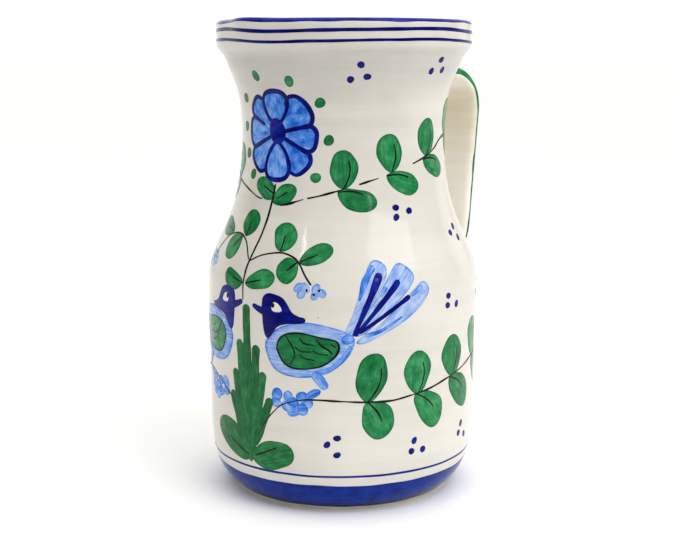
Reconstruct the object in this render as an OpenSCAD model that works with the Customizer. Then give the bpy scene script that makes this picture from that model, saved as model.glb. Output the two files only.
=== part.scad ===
// Hand-painted ceramic pitcher: a thrown body with a collared mouth and a small pulled lip, a strap
// handle luted on with clay fillets, and a bare-clay foot ring. Millimetres, +Z up.
// The origin is on the body's axis, on the plane that the pitcher stands on.
// The handle points along +X and the lip along -X.

/* [Body] */
// Largest diameter of the belly
belly_d = 150; // [146:1:156]
// Smallest diameter of the neck
neck_d = 112; // [108:1:116]
// Outer diameter of the collar at the mouth
collar_d = 140; // [136:1:144]
// Height from the standing plane to the rim
total_h = 258; // [256:1:262]
// Thickness of the thrown wall
wall = 5.5; // [4.5:0.5:6.5]
// Thickness of the floor above the recess
floor_t = 7; // [5:0.5:9]

/* [Pouring lip] */
// How far the lip reaches past the collar
lip_reach = 5; // [3:0.5:7]
// Radius of the lip's curve, seen from above
lip_r = 27; // [22:1:30]

/* [Foot ring] */
// Outer diameter of the bare-clay ring
foot_d = 118.6; // [112:0.2:119]
// Radial width of the ring
foot_w = 9.5; // [6:0.5:12]
// Height of the ring that shows below the glaze
foot_h = 1.5; // [1:0.5:2]
// Depth of the recess inside the ring
recess_h = 3.5; // [2:0.5:3.9]

/* [Handle] */
// Width of the strap
strap_w = 30; // [26:1:34]
// Thickness of the strap
strap_t = 8; // [6:0.5:9]
// Height of the strap's top surface
strap_top = 234; // [232:0.5:235]
// How far the strap's outer face stands from the body's axis
strap_reach = 102.8; // [99:0.2:105]
// Outer radius of the bend under the collar
upper_bend = 25; // [23:0.5:27]
// Outer radius of the bend into the shoulder
lower_bend = 34; // [32:0.5:36]
// Length of the nearly straight grip between the bends
grip_l = 67; // [65:0.5:69]
// Lean of the grip towards the body, in degrees
grip_lean = 5.5; // [4:0.5:7]
// Size of the clay fillets that join the strap to the body
fillet = 6; // [4:0.5:7]

/* [Hidden] */
$fn = 240;

belly_r = belly_d / 2;
neck_r = neck_d / 2;
collar_r = collar_d / 2;
foot_r = foot_d / 2;
rim_r = wall / 2;                      // the rim is a half round as thick as the wall
rim_z = total_h - rim_r;               // height at which that half round starts
collar_foot_z = 248;                   // where the flared neck becomes the upright collar
curve_steps = 6;                       // straight facets of the outline between two key points
lip_base_z = 238;                      // where the lip starts to leave the neck
lip_x = -(collar_r + lip_reach - lip_r);
lip_slope = 8.5;                       // how much the lip's radius grows from its base to the rim
inside_z = recess_h + floor_t;         // height of the inside of the floor

// Key points of the outside, as [radius, height], from the glaze line up to the collar
OUTSIDE = [
    [foot_r + 0.7, foot_h],
    [belly_r - 6.5, 10.5],
    [belly_r - 2.2, 24],
    [belly_r - 0.5, 60],
    [belly_r, 112],
    [belly_r - 2.1, 129.5],
    [belly_r - 9.7, 147],
    [neck_r + 2.2, 170],
    [neck_r, 193],
    [neck_r + 1.8, 218],
    [neck_r + 7.6, 234],
    [collar_r - 1, 244],
    [collar_r, collar_foot_z]
];

// Point on the smooth curve between key points i and i + 1, at fraction t (Catmull-Rom)
function curve_point(keys, i, t) =
    let (last = len(keys) - 1,
         before = keys[max(i - 1, 0)], from = keys[i],
         to = keys[i + 1], after = keys[min(i + 2, last)])
    0.5 * (2 * from + t * (to - before)
           + t * t * (2 * before - 5 * from + 4 * to - after)
           + t * t * t * (3 * from - before - 3 * to + after));

function smooth_curve(keys) = concat(
    [for (i = [0 : len(keys) - 2], k = [0 : curve_steps - 1]) curve_point(keys, i, k / curve_steps)],
    [keys[len(keys) - 1]]
);

outside_curve = smooth_curve(OUTSIDE);
inside_curve = [for (p = outside_curve) if (p[1] > inside_z + 3) [p[0] - wall, p[1]]];

// Rounded top edge from radius outer_r to radius inner_r, as points
function rim_arc(outer_r) = [
    for (a = [0 : 15 : 180]) [outer_r - rim_r + rim_r * cos(a), rim_z + rim_r * sin(a)]
];

module spin(points) {
    rotate_extrude() polygon(points);
}

// The pitcher's outside as a closed solid, without the lip
module body_solid() {
    spin(concat([[0, foot_h]], outside_curve, rim_arc(collar_r), [[0, rim_z]]));
}

// The space inside, without the lip; it runs out past the rim
module body_space() {
    first = inside_curve[0];
    corner = 6;
    spin(concat(
        [[0, inside_z], [first[0] - corner, inside_z]],
        [for (a = [-60 : 30 : 0]) [first[0] - corner + corner * cos(a), inside_z + corner * (1 + sin(a))]],
        [for (p = inside_curve) if (p[1] > inside_z + corner) p],
        [[collar_r - wall, rim_z], [collar_r - wall, total_h + 1], [0, total_h + 1]]
    ));
}

module lip_solid() {
    translate([lip_x, 0, 0])
        spin(concat([[0, lip_base_z], [lip_r - lip_slope, lip_base_z]], rim_arc(lip_r), [[0, rim_z]]));
}

module lip_space() {
    inner_r = lip_r - wall;
    translate([lip_x, 0, 0])
        spin([[0, lip_base_z], [inner_r - lip_slope, lip_base_z], [inner_r, rim_z],
              [inner_r, total_h + 1], [0, total_h + 1]]);
}

module recess() {
    cylinder(h = recess_h, r = foot_r - foot_w);
}

module body() {
    color([0.93, 0.91, 0.86])
        difference() {
            union() {
                body_solid();
                lip_solid();
            }
            body_space();
            lip_space();
            recess();
        }
}

module foot_ring() {
    color([0.80, 0.70, 0.58])
        difference() {
            cylinder(h = foot_h, r = foot_r);
            translate([0, 0, -1]) cylinder(h = foot_h + 2, r = foot_r - foot_w);
        }
}

// ---- Handle: a strap that leaves the neck level, bends down, and bends in to the shoulder ----
upper_x = strap_reach - upper_bend;    // centre of the upper bend
upper_z = strap_top - upper_bend;
lower_turn = 72;                       // degrees of the lower bend before it ends inside the wall
tenon_l = 1;                           // the level root runs this far into the upper bend
tenon_skin = 0.05;                     // and is this much slimmer all round
strap_flat = strap_w - strap_t;        // width of the strap between its rounded edges

// Cross-section of the strap, with rounded edges and its outer face at x = outer; skin is
// taken off all round
module strap_section(outer, skin = 0) {
    section_t = strap_t - 2 * skin;
    translate([outer - skin - section_t, -strap_flat / 2]) square([section_t, strap_flat]);
    for (side = [-1, 1])
        translate([outer - strap_t / 2, side * strap_flat / 2]) circle(d = section_t);
}

// A bend of the strap in the XZ plane about the origin, from angle start through turn degrees
module strap_bend(outer, start, turn) {
    rotate([90, 0, 0])
        rotate_extrude(angle = turn, start = start)
            strap_section(outer);
}

module strap() {
    translate([0, 0, upper_z])
        rotate([90, 0, 90])
            linear_extrude(upper_x + tenon_l)
                rotate(90) strap_section(upper_bend, tenon_skin);
    translate([upper_x, 0, upper_z])
        rotate([0, grip_lean, 0]) {
            strap_bend(upper_bend, 0, 90 + grip_lean);
            translate([0, 0, -grip_l]) linear_extrude(grip_l) strap_section(upper_bend);
            translate([upper_bend - lower_bend, 0, -grip_l])
                strap_bend(lower_bend, -lower_turn, lower_turn);
        }
}

module handle() {
    color([0.90, 0.88, 0.80])
        difference() {
            strap();
            body_solid();
        }
}

strip_w = strap_flat - 1;              // width of the fillets, just inside the rounded edges

// A concave strip of clay across the strap, in the corner at (x, z); its legs run along +X and
// towards side * Z, turned by tilt degrees about the corner
module corner_strip(x, z, tilt, side) {
    translate([x, 0, z])
        rotate([90, -tilt, 0])
            translate([0, 0, -strip_w / 2])
                linear_extrude(strip_w)
                    mirror([0, side > 0 ? 0 : 1])
                        difference() {
                            translate([-fillet, -fillet]) square([2 * fillet, 2 * fillet]);
                            translate([fillet, fillet]) circle(r = fillet);
                        }
}

// The fillets of one joint, cut to the strap and to the wall
module joint_strips() {
    color([0.90, 0.88, 0.80])
        difference() {
            children();
            strap();
            body_solid();
        }
}

module upper_handle_joint() {
    joint_strips() {
        corner_strip(neck_r + 7.6, strap_top, 0, 1);
        corner_strip(neck_r + 4, strap_top - strap_t, 0, -1);
    }
}

module lower_handle_joint() {
    joint_strips() {
        corner_strip(belly_r - 0.4, 120, 20, 1);
        corner_strip(belly_r - 0.2, 111.5, 22, -1);
    }
}

body();
foot_ring();
handle();
upper_handle_joint();
lower_handle_joint();
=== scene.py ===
"""Looks of a hand-painted ceramic pitcher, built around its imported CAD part.

Lengths are in millimetres until a mesh is made. A place on the wall is (angle, climb): the angle in
degrees round the axis, 0 at the side that faces the viewer and positive to the viewer's right, and
the climb in millimetres, which is the height on the outside and then goes on over the rim and down
the inside.
"""

import math

import bpy
import numpy as np
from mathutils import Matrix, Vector


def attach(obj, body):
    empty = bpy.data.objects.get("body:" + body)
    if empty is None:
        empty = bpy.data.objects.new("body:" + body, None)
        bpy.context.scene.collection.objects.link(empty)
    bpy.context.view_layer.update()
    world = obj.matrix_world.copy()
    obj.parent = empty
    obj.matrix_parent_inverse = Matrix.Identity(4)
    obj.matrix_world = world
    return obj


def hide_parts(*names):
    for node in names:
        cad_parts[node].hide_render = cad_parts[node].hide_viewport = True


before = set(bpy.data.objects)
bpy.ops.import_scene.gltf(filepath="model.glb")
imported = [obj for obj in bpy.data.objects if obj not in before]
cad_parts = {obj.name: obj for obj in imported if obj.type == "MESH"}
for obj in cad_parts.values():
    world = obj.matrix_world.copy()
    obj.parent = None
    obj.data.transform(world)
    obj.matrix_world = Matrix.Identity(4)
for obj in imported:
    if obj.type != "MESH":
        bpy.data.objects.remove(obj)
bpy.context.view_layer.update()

MM = 0.001
VIEW_AZIMUTH = math.radians(-45)  # the viewer looks at the pitcher from here
FRONT = np.array([math.sin(VIEW_AZIMUTH), -math.cos(VIEW_AZIMUTH), 0.0])
RIGHT = np.array([math.cos(VIEW_AZIMUTH), math.sin(VIEW_AZIMUTH), 0.0])
UP = np.array([0.0, 0.0, 1.0])
LEAN = 0.0062  # the pot leans this far to the right for each unit of height
LIP_ANGLE = -45.0
rng = np.random.default_rng(12)

# ---- the wall's shape

WALL_T = 5.5
COLLAR_R = 70.0
RIM_R = WALL_T / 2
RIM_Z = 255.25  # the rounded rim starts here
FOOT_Z = 1.5  # the glazed body starts here, on top of the foot ring
FLOOR_Z = 10.5  # the floor inside
CORNER_R = 6.0  # between the floor and the wall inside
RECESS_Z = 3.5  # the underside within the foot ring
RECESS_R = 49.8
LIP_REACH = 5.0  # outwards
LIP_RISE = 0.5  # upwards
LIP_FOOT = 236.0  # the lip starts to bulge at this height
LIP_SPREAD = 7.5  # degrees to each side

# (height, radius) of the outside
OUTSIDE = [
    (1.5, 60.2), (6, 65), (10.5, 68.5), (16, 71), (24, 73), (42, 74.2),  # foot
    (60, 74.6), (85, 75), (112, 75.2), (124, 74.6),  # belly
    (135, 70.8), (147, 65.3), (162, 60), (177, 57.1),  # shoulder
    (193, 56), (206, 56.3), (221, 58.5), (234, 63.5),  # neck
    (240.5, 66.7), (243, 68.9), (245.5, 69.8), (250, 69.9), (RIM_Z, COLLAR_R),  # collar
]


def smooth_through(keys, at):
    """Value at each place in at, on the smooth curve through the (place, value) keys."""
    place, value = np.array(keys, float).T
    slope = np.gradient(value, place)
    i = np.clip(np.searchsorted(place, at) - 1, 0, len(place) - 2)
    step = place[i + 1] - place[i]
    t = (at - place[i]) / step
    rise = value[i + 1] - value[i]
    return (
        value[i]
        + t * step * slope[i]
        + t**2 * (3 * rise - step * (2 * slope[i] + slope[i + 1]))
        + t**3 * (step * (slope[i] + slope[i + 1]) - 2 * rise)
    )


def wall_table():
    """Rows of climb, radius and height, from the foot over the rim to the corner inside."""
    fine = 0.25  # mm of height between rows
    out_z = np.append(np.arange(FOOT_Z, RIM_Z, fine), RIM_Z)
    out_r = smooth_through(OUTSIDE, out_z)
    turn = np.linspace(0, math.pi, 41)[1:]
    rim_r = COLLAR_R - RIM_R + RIM_R * np.cos(turn)
    rim_z = RIM_Z + RIM_R * np.sin(turn)
    rim_c = RIM_Z + RIM_R * turn
    in_z = np.arange(RIM_Z - fine, FLOOR_Z + CORNER_R, -fine)
    in_r = smooth_through(OUTSIDE, in_z) - WALL_T
    in_c = rim_c[-1] + RIM_Z - in_z
    bend = np.linspace(0, math.pi / 2, 13)[1:]
    corner_r = in_r[-1] - CORNER_R + CORNER_R * np.cos(bend)
    corner_z = in_z[-1] - CORNER_R * np.sin(bend)
    corner_c = in_c[-1] + CORNER_R * bend
    return np.array(
        [
            np.concatenate([out_z, rim_c, in_c, corner_c]),
            np.concatenate([out_r, rim_r, in_r, corner_r]),
            np.concatenate([out_z, rim_z, in_z, corner_z]),
        ]
    )


CLIMBS, RADII, HEIGHTS = wall_table()
OUT_RADII, OUT_HEIGHTS = RADII[CLIMBS <= RIM_Z], HEIGHTS[CLIMBS <= RIM_Z]
INNER_CLIMB = RIM_Z + RIM_R * math.pi
LAST_CLIMB = CLIMBS[-1]


def lip_share(angle, height):
    """0 away from the pouring lip, 1 at its tip."""
    rise = np.clip((height - LIP_FOOT) / (RIM_Z + RIM_R - LIP_FOOT), 0, 1)
    side = ((angle - LIP_ANGLE + 180) % 360 - 180) / LIP_SPREAD
    return rise**2 * (3 - 2 * rise) * np.exp(-0.5 * side**2)


def throwing_rings(angle, climb):
    """Faint ridges that the potter's fingers leave on the outside, in mm. They fade out at both ends."""
    depth = 0.035
    shown = np.clip((RIM_Z - 8 - climb) / 10, 0, 1) * np.clip((climb - 5) / 15, 0, 1)
    wave = np.sin(climb / 1.7 + 1.1 * np.sin(climb / 19) + 0.5 * np.sin(np.radians(angle)))
    return depth * shown * wave * (0.6 + 0.4 * np.sin(climb / 11 + 2))


def spoke(angle):
    """Level unit vectors that point away from the axis at the angles."""
    turn = np.radians(angle)[..., None]
    return FRONT * np.cos(turn) + RIGHT * np.sin(turn)


def leaned(points):
    """Points of the upright pot, moved to the place they have on the leaning pot."""
    return points + LEAN * points[..., 2:3] * RIGHT


def on_wall(angle, climb, lift=0.0):
    """Points on the wall, lift mm off its surface."""
    angle, climb, lift = np.broadcast_arrays(angle, climb, lift)
    near = 0.3  # mm to each side, for the slope
    low = np.clip(climb - near, CLIMBS[0], LAST_CLIMB)
    high = np.clip(climb + near, CLIMBS[0], LAST_CLIMB)
    out_r = np.interp(high, CLIMBS, HEIGHTS) - np.interp(low, CLIMBS, HEIGHTS)
    out_z = np.interp(low, CLIMBS, RADII) - np.interp(high, CLIMBS, RADII)
    size = np.hypot(out_r, out_z)
    height = np.interp(climb, CLIMBS, HEIGHTS)
    share = lip_share(angle, height)
    radius = np.interp(climb, CLIMBS, RADII) + throwing_rings(angle, climb)
    radius = radius + LIP_REACH * share + lift * out_r / size
    height = height + LIP_RISE * share + lift * out_z / size
    return leaned(spoke(angle) * radius[..., None] + UP * height[..., None])


def mm_per_degree(climb):
    return np.interp(climb, CLIMBS, RADII) * math.pi / 180


# ---- materials


def add_node(tree, kind, inputs=None, **settings):
    """A new node with its settings, its inputs set to values or joined to other nodes' outputs."""
    made = tree.nodes.new(kind)
    for name, value in settings.items():
        setattr(made, name, value)
    for socket, value in (inputs or {}).items():
        if isinstance(value, bpy.types.NodeSocket):
            tree.links.new(value, made.inputs[socket])
        else:
            made.inputs[socket].default_value = value
    return made


def math_node(tree, operation, *values, clamp=False):
    inputs = dict(enumerate(values))
    return add_node(tree, "ShaderNodeMath", inputs, operation=operation, use_clamp=clamp).outputs[0]


def share_node(tree, value, start, end):
    """0 where value is start, 1 where it is end, with a ramp between them and level beyond."""
    past = math_node(tree, "SUBTRACT", value, start)
    return math_node(tree, "MULTIPLY", past, 1 / (end - start), clamp=True)


def noise_node(tree, vector, scale, detail=3.0, roughness=0.55):
    inputs = {"Vector": vector, "Scale": scale, "Detail": detail, "Roughness": roughness}
    return add_node(tree, "ShaderNodeTexNoise", inputs).outputs["Fac"]


def stretched(tree, vector, scale):
    """The coordinates in vector, scaled by one factor for each axis."""
    inputs = {"Vector": vector, "Scale": scale}
    return add_node(tree, "ShaderNodeMapping", inputs).outputs["Vector"]


def ramp_node(tree, factor, stops):
    """Colour ramp with (position, colour) stops."""
    made = add_node(tree, "ShaderNodeValToRGB", {"Fac": factor})
    ramp = made.color_ramp
    while len(ramp.elements) < len(stops):
        ramp.elements.new(0.5)
    for element, (position, colour) in zip(ramp.elements, stops):
        element.position = position
        element.color = (*colour, 1)
    return made.outputs["Color"]


def new_material(name):
    """A material with only a Principled shader. Returns it with its tree and its shader."""
    material = bpy.data.materials.new(name)
    material.use_nodes = True
    tree = material.node_tree
    return material, tree, tree.nodes["Principled BSDF"]


def add_bump(tree, shader, height, distance):
    """Bumps as high as distance, in metres, where height is 1."""
    inputs = {"Height": height, "Distance": distance, "Strength": 1.0}
    bump = add_node(tree, "ShaderNodeBump", inputs)
    tree.links.new(bump.outputs["Normal"], shader.inputs["Normal"])


def add_gloss(tree, shader, cloud, least_rough, specular):
    """A glassy surface that is a little rougher where cloud is high."""
    rough = math_node(tree, "MULTIPLY_ADD", cloud, 0.08, least_rough)
    tree.links.new(rough, shader.inputs["Roughness"])
    shader.inputs["IOR"].default_value = 1.5
    shader.inputs["Specular IOR Level"].default_value = specular


def mottle_node(tree, broad, fine):
    """Six parts of the broad pattern with four parts of the fine one."""
    broad = math_node(tree, "MULTIPLY", broad, 0.6)
    return math_node(tree, "ADD", broad, math_node(tree, "MULTIPLY", fine, 0.4))


def speck_node(tree, place):
    """1 on a few small specks of iron, 0 elsewhere."""
    cell = add_node(tree, "ShaderNodeTexVoronoi", {"Vector": place, "Scale": 75.0})
    size = math_node(tree, "MULTIPLY", noise_node(tree, place, 40, 1), 0.09)
    speck = math_node(tree, "SUBTRACT", size, cell.outputs["Distance"])
    speck = math_node(tree, "MULTIPLY", speck, 30.0, clamp=True)
    rare = math_node(tree, "GREATER_THAN", noise_node(tree, place, 23, 0), 0.60)
    return math_node(tree, "MULTIPLY", speck, rare)


def painted_shade_node(tree, height, rise, fall, depth):
    """Painted shade: 0 on most of the pot. It grows to depth over the heights of rise, and ends over those
    of fall.
    """
    above = share_node(tree, height, rise[0], rise[1])
    below = share_node(tree, height, fall[1], fall[0])
    return math_node(tree, "MULTIPLY", math_node(tree, "MULTIPLY", above, below), depth)


def glaze_material(name, darkest, thin, thick, shade_band):
    """Glossy tin glaze: cloudy off-white with faint turning streaks, a few iron specks and a soft ripple.

    The last argument says between which heights painted shade darkens the glaze towards its darkest tone,
    as the painted-shade node takes them.
    """
    material, tree, shader = new_material(name)
    place = add_node(tree, "ShaderNodeTexCoord").outputs["Object"]
    cloud = noise_node(tree, place, 16, 4)
    streak = noise_node(tree, stretched(tree, place, (9, 9, 150)), 1.0, 3)
    height = add_node(tree, "ShaderNodeSeparateXYZ", {"Vector": place}).outputs["Z"]
    tone = mottle_node(tree, cloud, streak)
    # painted shade: the glaze gets darker over the heights that the last argument gives
    tone = math_node(tree, "SUBTRACT", tone, painted_shade_node(tree, height, *shade_band))
    base = ramp_node(tree, tone, [(0.1, darkest), (0.38, thin), (0.62, thick)])
    mixed = add_node(tree, "ShaderNodeMix", {"Factor": speck_node(tree, place)}, data_type="RGBA")
    tree.links.new(base, mixed.inputs[6])
    mixed.inputs[7].default_value = IRON
    tree.links.new(mixed.outputs[2], shader.inputs["Base Color"])
    add_gloss(tree, shader, cloud, 0.05, 0.35)
    add_bump(tree, shader, noise_node(tree, place, 210, 2), 0.00006)
    return material


def paint_material(name, stops, streak_gain=1.3, cloud_gain=1.4, edge_gain=0.4):
    """Glaze paint laid on with a brush: streaks run along each stroke and the paint pools at its edge.

    The gains say how much each pattern moves the colour along the stops, from thin to thick paint.
    """
    material, tree, shader = new_material(name)
    brush = add_node(tree, "ShaderNodeUVMap", uv_map="brush").outputs["UV"]
    edge = add_node(tree, "ShaderNodeAttribute", attribute_name="edge").outputs["Fac"]
    load = add_node(tree, "ShaderNodeAttribute", attribute_name="load").outputs["Fac"]
    streak = noise_node(tree, stretched(tree, brush, (0.07, 0.95, 1)), 1.0, 4, 0.65)
    cloud = noise_node(tree, stretched(tree, brush, (0.16, 0.22, 1)), 1.0, 3)
    load_gain = 0.3
    depth = 0.5 - (streak_gain + cloud_gain + load_gain) / 2
    for amount, gain in ((streak, streak_gain), (cloud, cloud_gain), (edge, edge_gain), (load, load_gain)):
        depth = math_node(tree, "ADD", math_node(tree, "MULTIPLY", amount, gain), depth)
    tree.links.new(ramp_node(tree, depth, stops), shader.inputs["Base Color"])
    add_gloss(tree, shader, cloud, 0.06, 0.13)
    add_bump(tree, shader, streak, 0.00004)
    return material


def clay_material():
    """Bare fired clay of the foot ring: matt, gritty, warm buff."""
    material, tree, shader = new_material("bare_clay")
    place = add_node(tree, "ShaderNodeTexCoord").outputs["Object"]
    grit = noise_node(tree, place, 900, 3)
    tone = mottle_node(tree, noise_node(tree, place, 60, 5), grit)
    colour = ramp_node(tree, tone, [(0.35, (0.62, 0.54, 0.44)), (0.65, (0.80, 0.73, 0.62))])
    tree.links.new(colour, shader.inputs["Base Color"])
    shader.inputs["Roughness"].default_value = 0.85
    add_bump(tree, shader, grit, 0.0002)
    return material


IRON = (0.42, 0.31, 0.20, 1)
# Heights in metres over which painted shade darkens the glaze and fades again, and by how much: under the
# collar, and across the upper part of the handle
COLLAR_SHADE = (0.214, 0.236), (0.2415, 0.2445), 0.28
STRAP_SHADE = (0.160, 0.200), (0.218, 0.230), 0.34
GLAZE = glaze_material(
    "tin_glaze", (0.55, 0.54, 0.50), (0.70, 0.665, 0.60), (0.775, 0.745, 0.675), COLLAR_SHADE
)
# A lighter copy of the tin glaze for the strap and its fillets: painted light that makes the handle look
# more brightly lit than the body's glaze would; its upper part also gets painted shade
LIT_HANDLE_GLAZE = glaze_material(
    "handle_glaze", (0.79, 0.72, 0.56), (0.915, 0.875, 0.79), (0.945, 0.92, 0.855), STRAP_SHADE
)
CLAY = clay_material()
LEAF = paint_material(
    "leaf_green",
    [(0.1, (0.06, 0.34, 0.13)), (0.5, (0.015, 0.205, 0.062)), (0.95, (0.002, 0.10, 0.03))],
    streak_gain=0.9,
    edge_gain=0.55,
)
PLANT = paint_material(
    "plant_green",
    [(0.1, (0.04, 0.25, 0.09)), (0.5, (0.012, 0.15, 0.042)), (0.95, (0.003, 0.08, 0.025))],
    edge_gain=0.15,
)
NAVY = paint_material(
    "navy_blue",
    [(0.1, (0.006, 0.024, 0.34)), (0.5, (0.0015, 0.0035, 0.18)), (0.95, (0.0008, 0.001, 0.062))],
    edge_gain=0.1,
)
PETAL = paint_material(
    "petal_blue",
    [(0.1, (0.26, 0.46, 0.93)), (0.5, (0.085, 0.27, 0.82)), (0.95, (0.01, 0.12, 0.62))],
    streak_gain=1.0,
    cloud_gain=2.4,
)
PALE = paint_material(
    "pale_blue_wash",
    [
        (0.1, (0.56, 0.65, 0.86)), (0.45, (0.34, 0.47, 0.80)),
        (0.8, (0.16, 0.32, 0.76)), (1.0, (0.05, 0.19, 0.66)),
    ],
    streak_gain=1.7,
    cloud_gain=1.3,
    edge_gain=0.55,
)
WASH = paint_material(
    "light_blue_wash",
    [
        (0.1, (0.40, 0.55, 0.88)), (0.45, (0.16, 0.33, 0.80)),
        (0.75, (0.05, 0.22, 0.72)), (1.0, (0.01, 0.12, 0.56)),
    ],
    streak_gain=1.4,
    cloud_gain=1.9,
    edge_gain=0.5,
)
LINE = paint_material("line_black", [(0.1, (0.012, 0.014, 0.012)), (0.9, (0.003, 0.004, 0.003))])
BAND = paint_material(
    "band_blue", [(0.1, (0.001, 0.038, 0.37)), (0.9, (0.0005, 0.012, 0.16))], edge_gain=0.1
)
# Near-black colour for the strip where the base band turns under towards the foot: painted shadow standing
# in for the shade under the band's lower edge
BAND_FOOT_SHADOW = paint_material("painted_foot_shadow", [(0.1, (0.004, 0.006, 0.03)), (0.9, (0.002, 0.003, 0.015))])
WHITE = paint_material("eye_white", [(0.1, (0.85, 0.84, 0.80)), (0.9, (0.75, 0.74, 0.72))])

# ---- mesh helpers


def make_piece(name, points, faces, material, node=None, flat=None):
    """A mesh piece from points in mm, riding on the pot. It stands for the CAD node if one is named.

    It is smooth, but for the faces that flat marks with 1.
    """
    mesh = bpy.data.meshes.new(name)
    mesh.from_pydata((np.asarray(points) * MM).tolist(), [], faces)
    mesh.validate()
    mesh.materials.append(material)
    smooth = np.ones(len(faces), bool) if flat is None else ~np.asarray(flat, bool)
    mesh.polygons.foreach_set("use_smooth", smooth)
    made = bpy.data.objects.new(name, mesh)
    bpy.context.scene.collection.objects.link(made)
    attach(made, "root")
    if node:
        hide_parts(node)
    return made


def grid_faces(rows, columns, wrap=False):
    """Quads of a grid of points stored row by row. With wrap, the last column joins the first."""
    faces = []
    for i in range(rows - 1):
        for j in range(columns if wrap else columns - 1):
            k = (j + 1) % columns
            faces.append((i * columns + j, i * columns + k, (i + 1) * columns + k, (i + 1) * columns + j))
    return faces


def cap_faces(rows, columns):
    """Triangles that close a wrapped grid's first row to the point after the grid, its last to the next."""
    faces = []
    first_centre = rows * columns
    last_row = first_centre - columns
    for j in range(columns):
        k = (j + 1) % columns
        faces.append((k, j, first_centre))
        faces.append((last_row + j, last_row + k, first_centre + 1))
    return faces


def ring_faces(rows, columns, wrap=True):
    """Quads of a grid whose last row joins the first. With wrap, its last column joins the first too."""
    faces = []
    for i in range(rows):
        after = (i + 1) % rows
        for j in range(columns if wrap else columns - 1):
            k = (j + 1) % columns
            faces.append((i * columns + j, after * columns + j, after * columns + k, i * columns + k))
    return faces


def closed_sheet(top, bottom, faces):
    """Points and faces of the closed sheet between two matched sets of points, and marks on its sides."""
    count = len(top)
    edges = {pair for face in faces for pair in zip(face, face[1:] + face[:1])}
    border = sorted(pair for pair in edges if pair[::-1] not in edges)
    under = [tuple(i + count for i in reversed(face)) for face in faces]
    sides = [(b, a, a + count, b + count) for a, b in border]
    flat = np.arange(2 * len(faces) + len(sides)) >= 2 * len(faces)
    return np.vstack([top, bottom]), faces + under + sides, flat


# ---- body and foot ring

AROUND = 240  # points round the body
ANGLES = np.arange(AROUND) * 360 / AROUND


def make_body():
    """The glazed body: underside, outside, rim, inside and floor as one closed surface."""
    outside = np.linspace(FOOT_Z, RIM_Z, 190)
    rim = np.linspace(RIM_Z, INNER_CLIMB, 13)[1:]
    inside = np.linspace(INNER_CLIMB, LAST_CLIMB - CORNER_R * math.pi / 2, 85)[1:]
    corner = np.linspace(inside[-1], LAST_CLIMB, 6)[1:]
    climbs = np.concatenate([outside, rim, inside, corner])
    wall = on_wall(ANGLES[None, :], climbs[:, None]).reshape(-1, 3)
    recess = spoke(ANGLES) * RECESS_R
    under = np.vstack([recess + UP * RECESS_Z, recess + UP * FOOT_Z])
    points = np.vstack([under, wall, UP * RECESS_Z, UP * FLOOR_Z])
    rows = len(climbs) + 2
    faces = grid_faces(rows, AROUND, wrap=True)
    faces += cap_faces(rows, AROUND)
    make_piece("pitcher_body", points, faces, GLAZE, "body")


def make_foot_ring():
    """The ring of bare clay that the pot stands on, with worn edges."""
    outer, inner, worn = 59.3, RECESS_R, 0.5
    top = FOOT_Z + 0.4  # it runs a little way into the glazed body
    section = [
        (outer, top), (outer, worn), (outer - 0.3 * worn, 0.3 * worn), (outer - worn, 0),
        (inner + worn, 0), (inner + 0.3 * worn, 0.3 * worn), (inner, worn), (inner, top),
    ]
    points = np.vstack([spoke(ANGLES) * radius + UP * height for radius, height in section])
    faces = ring_faces(len(section), AROUND)
    make_piece("foot_ring_clay", points, faces, CLAY, "foot_ring")


# ---- handle

STRAP_W = 30.0
STRAP_T = 8.0
STRAP_TOP = 234.0  # height of its upper face where it is level
UPPER_BEND = 25.0  # outer radius of the bend under the collar
UPPER_X = 77.8  # distance of that bend's centre from the axis
LOWER_BEND = 34.0  # outer radius of the bend into the shoulder
LOWER_TURN = 72.0  # degrees of that bend
GRIP_L = 67.0
GRIP_LEAN = 5.5  # degrees
FILLET = 6.0  # reach of the clay round each root
SQUARENESS = 3.2  # 2 makes the strap's section an ellipse, more makes it squarer
SECTION_STEPS = 48  # points round the section
STRAP_ROWS = 110


def strap_route():
    """Fine table of distance, x, z and outward normal along the middle of the strap."""
    half = STRAP_T / 2
    start_x = 48  # well inside the wall

    def bend(x, z, reach, turns):
        ways = [(math.cos(a), math.sin(a)) for a in np.radians(turns)]
        return [(x + reach * nx, z + reach * nz, nx, nz) for nx, nz in ways]

    rows = [(x, STRAP_TOP - half, 0.0, 1.0) for x in np.arange(start_x, UPPER_X, 0.5)]
    rows += bend(UPPER_X, STRAP_TOP - UPPER_BEND, UPPER_BEND - half, np.linspace(90, -GRIP_LEAN, 90))
    x, z, nx, nz = rows[-1]
    for d in np.linspace(0, GRIP_L, 60)[1:]:
        rows.append((x + nz * d, z - nx * d, nx, nz))
    x, z = rows[-1][:2]
    reach = LOWER_BEND - half
    turns = np.linspace(-GRIP_LEAN, -GRIP_LEAN - LOWER_TURN, 90)[1:]
    rows += bend(x - reach * nx, z - reach * nz, reach, turns)
    table = np.array(rows)
    steps = np.hypot(*np.diff(table[:, :2], axis=0).T)
    return np.column_stack([np.concatenate([[0], np.cumsum(steps)]), table])


ROUTE = strap_route()
ROUTE_L = ROUTE[-1, 0]


def strap_section(around):
    """(across, outward) of the strap's dished section at the angles around, which start at one edge."""
    c, s = np.cos(around), np.sin(around)
    across = STRAP_W / 2 * np.sign(c) * np.abs(c) ** (2 / SQUARENESS)
    outward = STRAP_T / 2 * np.sign(s) * np.abs(s) ** (2 / SQUARENESS)
    middle = (1 - (across / (STRAP_W / 2)) ** 2) ** 2
    dish = np.where(s > 0, -1.0, 0.5)  # mm at the middle of the outer and the inner face
    return across, outward + dish * middle


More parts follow.
